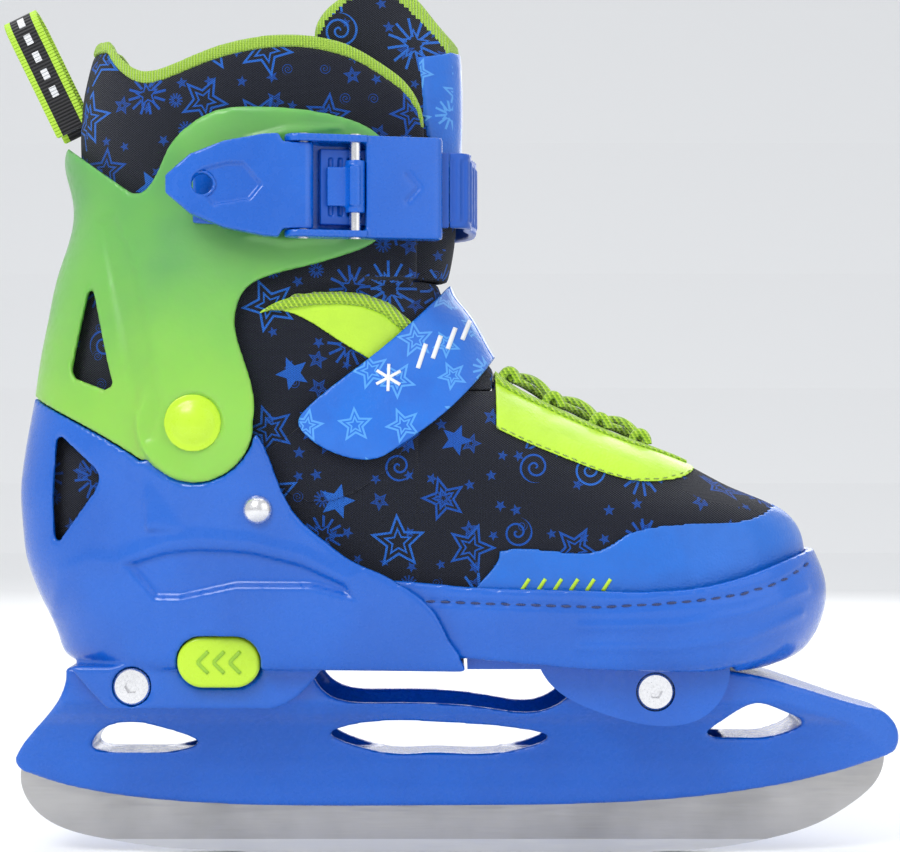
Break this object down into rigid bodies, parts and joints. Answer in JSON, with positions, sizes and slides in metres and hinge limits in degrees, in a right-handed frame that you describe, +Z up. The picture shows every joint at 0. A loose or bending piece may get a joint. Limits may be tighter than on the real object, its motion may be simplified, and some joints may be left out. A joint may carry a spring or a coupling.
{
  "type": "ice skate",
  "caption": "Size-adjustable child's ice skate with a hinged ankle cuff, ratchet buckle, peel-open instep strap, laced soft boot, sliding toe shell and a steel blade in a two-tower holder",
  "frame": {"origin": "running edge of the blade, at the middle of its flat stretch, in the blade's middle plane", "axes": "+X towards the toe, +Y towards the inner side of the foot, +Z up"},
  "size_m": [0.2894, 0.1038, 0.2765],
  "materials": {
    "blade_steel": "satin ground steel",
    "bolt_steel": "bright plated steel",
    "blue_shell": "moulded blue plastic",
    "green_clear": "translucent green plastic",
    "lime_plastic": "moulded lime plastic",
    "black_plastic": "black moulded nylon",
    "strap_plastic": "ribbed blue strap plastic",
    "black_fabric": "black woven fabric with blue printed stars",
    "black_fleece": "black loop fleece",
    "blue_leather": "glossy blue coated leather",
    "lime_leather": "lime coated leather",
    "lime_webbing": "lime ribbed webbing",
    "loop_webbing": "black webbing with lime edges",
    "insole_foam": "black foam foot bed"
  },
  "bodies": {
    "root": {"blade": "blade_steel", "blade_holder": "blue_shell", "sole_plate": "blue_shell", "heel_shell": "blue_shell", "rear_bolt": "bolt_steel", "rear_nut": "bolt_steel", "rear_bolt_sleeve": "bolt_steel", "front_bolt": "bolt_steel", "front_nut": "bolt_steel", "front_bolt_sleeve": "bolt_steel", "pivot_rivet_outer": "lime_plastic", "pivot_nut_outer": "bolt_steel", "shell_rivet_outer": "bolt_steel", "pivot_rivet_inner": "lime_plastic", "pivot_nut_inner": "bolt_steel", "shell_rivet_inner": "bolt_steel", "insole": "insole_foam", "liner_quarter": "black_fabric", "loop_patch": "black_fleece", "ankle_facing": "lime_leather", "instep_strap_root": "blue_leather", "button_spring": "bolt_steel", "stretch_panel": "black_fabric", "liner_ankle": "black_fabric"},
    "toe": {"toe_shell": "blue_shell", "size_rack": "black_plastic", "toe_cap": "blue_leather", "vamp": "black_fabric", "tongue_lower": "black_fabric", "eyestay": "lime_leather", "throat_binding": "lime_webbing", "lace_loops": "lime_webbing", "laces": "lime_webbing"},
    "cuff": {"cuff": "green_clear", "liner_collar": "black_fabric", "ankle_gusset": "black_fabric", "tongue_ankle": "black_fabric", "collar_piping": "lime_webbing", "tongue_upper": "black_fabric", "tongue_label": "blue_leather", "pull_loop": "loop_webbing", "buckle_base": "blue_shell", "base_rivets": "bolt_steel", "lever_pin": "bolt_steel", "pawl_pin": "bolt_steel", "strap_anchor": "strap_plastic", "anchor_rivet": "bolt_steel", "ladder_band": "strap_plastic"},
    "size_button": {"size_button": "lime_plastic"},
    "strap_flap": {"instep_strap_flap": "blue_leather"},
    "lever": {"buckle_lever": "blue_shell"},
    "pawl": {"buckle_pawl": "blue_shell"},
    "ladder_tip": {"ladder_strap_tip": "strap_plastic"}
  },
  "joints": [
    {"name": "cuff_flex", "type": "hinge", "parent": "root", "child": "cuff", "pos_m": [-0.079, 0, 0.1391], "axis": [0, 1, 0], "range_deg": [0, 10], "deforming": ["liner_ankle", "ankle_gusset", "tongue_ankle"]},
    {"name": "toe_slide", "type": "slide", "parent": "root", "child": "toe", "axis": [1, 0, 0], "range_m": [0, 0.02], "deforming": ["stretch_panel"]},
    {"name": "size_button_press", "type": "slide", "parent": "root", "child": "size_button", "axis": [0, 1, 0], "range_m": [0, 0.002], "stiffness_N_per_m": 600, "springref_m": -0.001, "deforming": ["button_spring"]},
    {"name": "strap_peel", "type": "hinge", "parent": "root", "child": "strap_flap", "pos_m": [0.0059, -0.009, 0.173], "axis": [-0.5051, 0, 0.8631], "range_deg": [0, 50]},
    {"name": "lever_open", "type": "hinge", "parent": "cuff", "child": "lever", "pos_m": [-0.0446, -0.049, 0.211], "axis": [0, 0, 1], "range_deg": [0, 100]},
    {"name": "pawl_lift", "type": "hinge", "parent": "cuff", "child": "pawl", "pos_m": [-0.02892, -0.04646, 0.211], "axis": [0, 0, 1], "range_deg": [0, 15]},
    {"name": "strap_release", "type": "slide", "parent": "cuff", "child": "ladder_tip", "axis": [0.9659, 0.2588, 0], "range_m": [0, 0.024], "deforming": ["ladder_band"]}
  ],
  "couplings": [
    {"joint": "pawl_lift", "follows": "lever_open", "ratio": 0.15}
  ]
}
